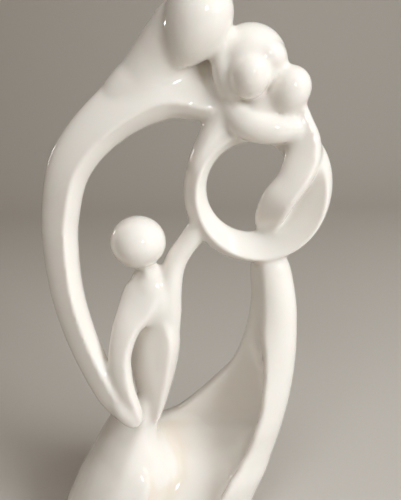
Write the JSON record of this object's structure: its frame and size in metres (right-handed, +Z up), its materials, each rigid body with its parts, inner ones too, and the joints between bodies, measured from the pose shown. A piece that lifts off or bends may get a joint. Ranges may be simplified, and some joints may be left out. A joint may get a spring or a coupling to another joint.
{
  "type": "family figurine",
  "caption": "White glazed porcelain figurine: a father's arm arcs round a mother holding a baby in a ring and a child reaching up, all rising from one flared robe.",
  "frame": {"origin": "centre of the flat oval underside", "axes": "+Z up, +X to the right seen from the front, -Y to the front where the faces look"},
  "size_m": [0.1406, 0.0597, 0.2799],
  "materials": {
    "glazed_porcelain": "glossy clear glaze over warm white porcelain"
  },
  "bodies": {
    "root": {"family_figurine": "glazed_porcelain"}
  },
  "joints": []
}
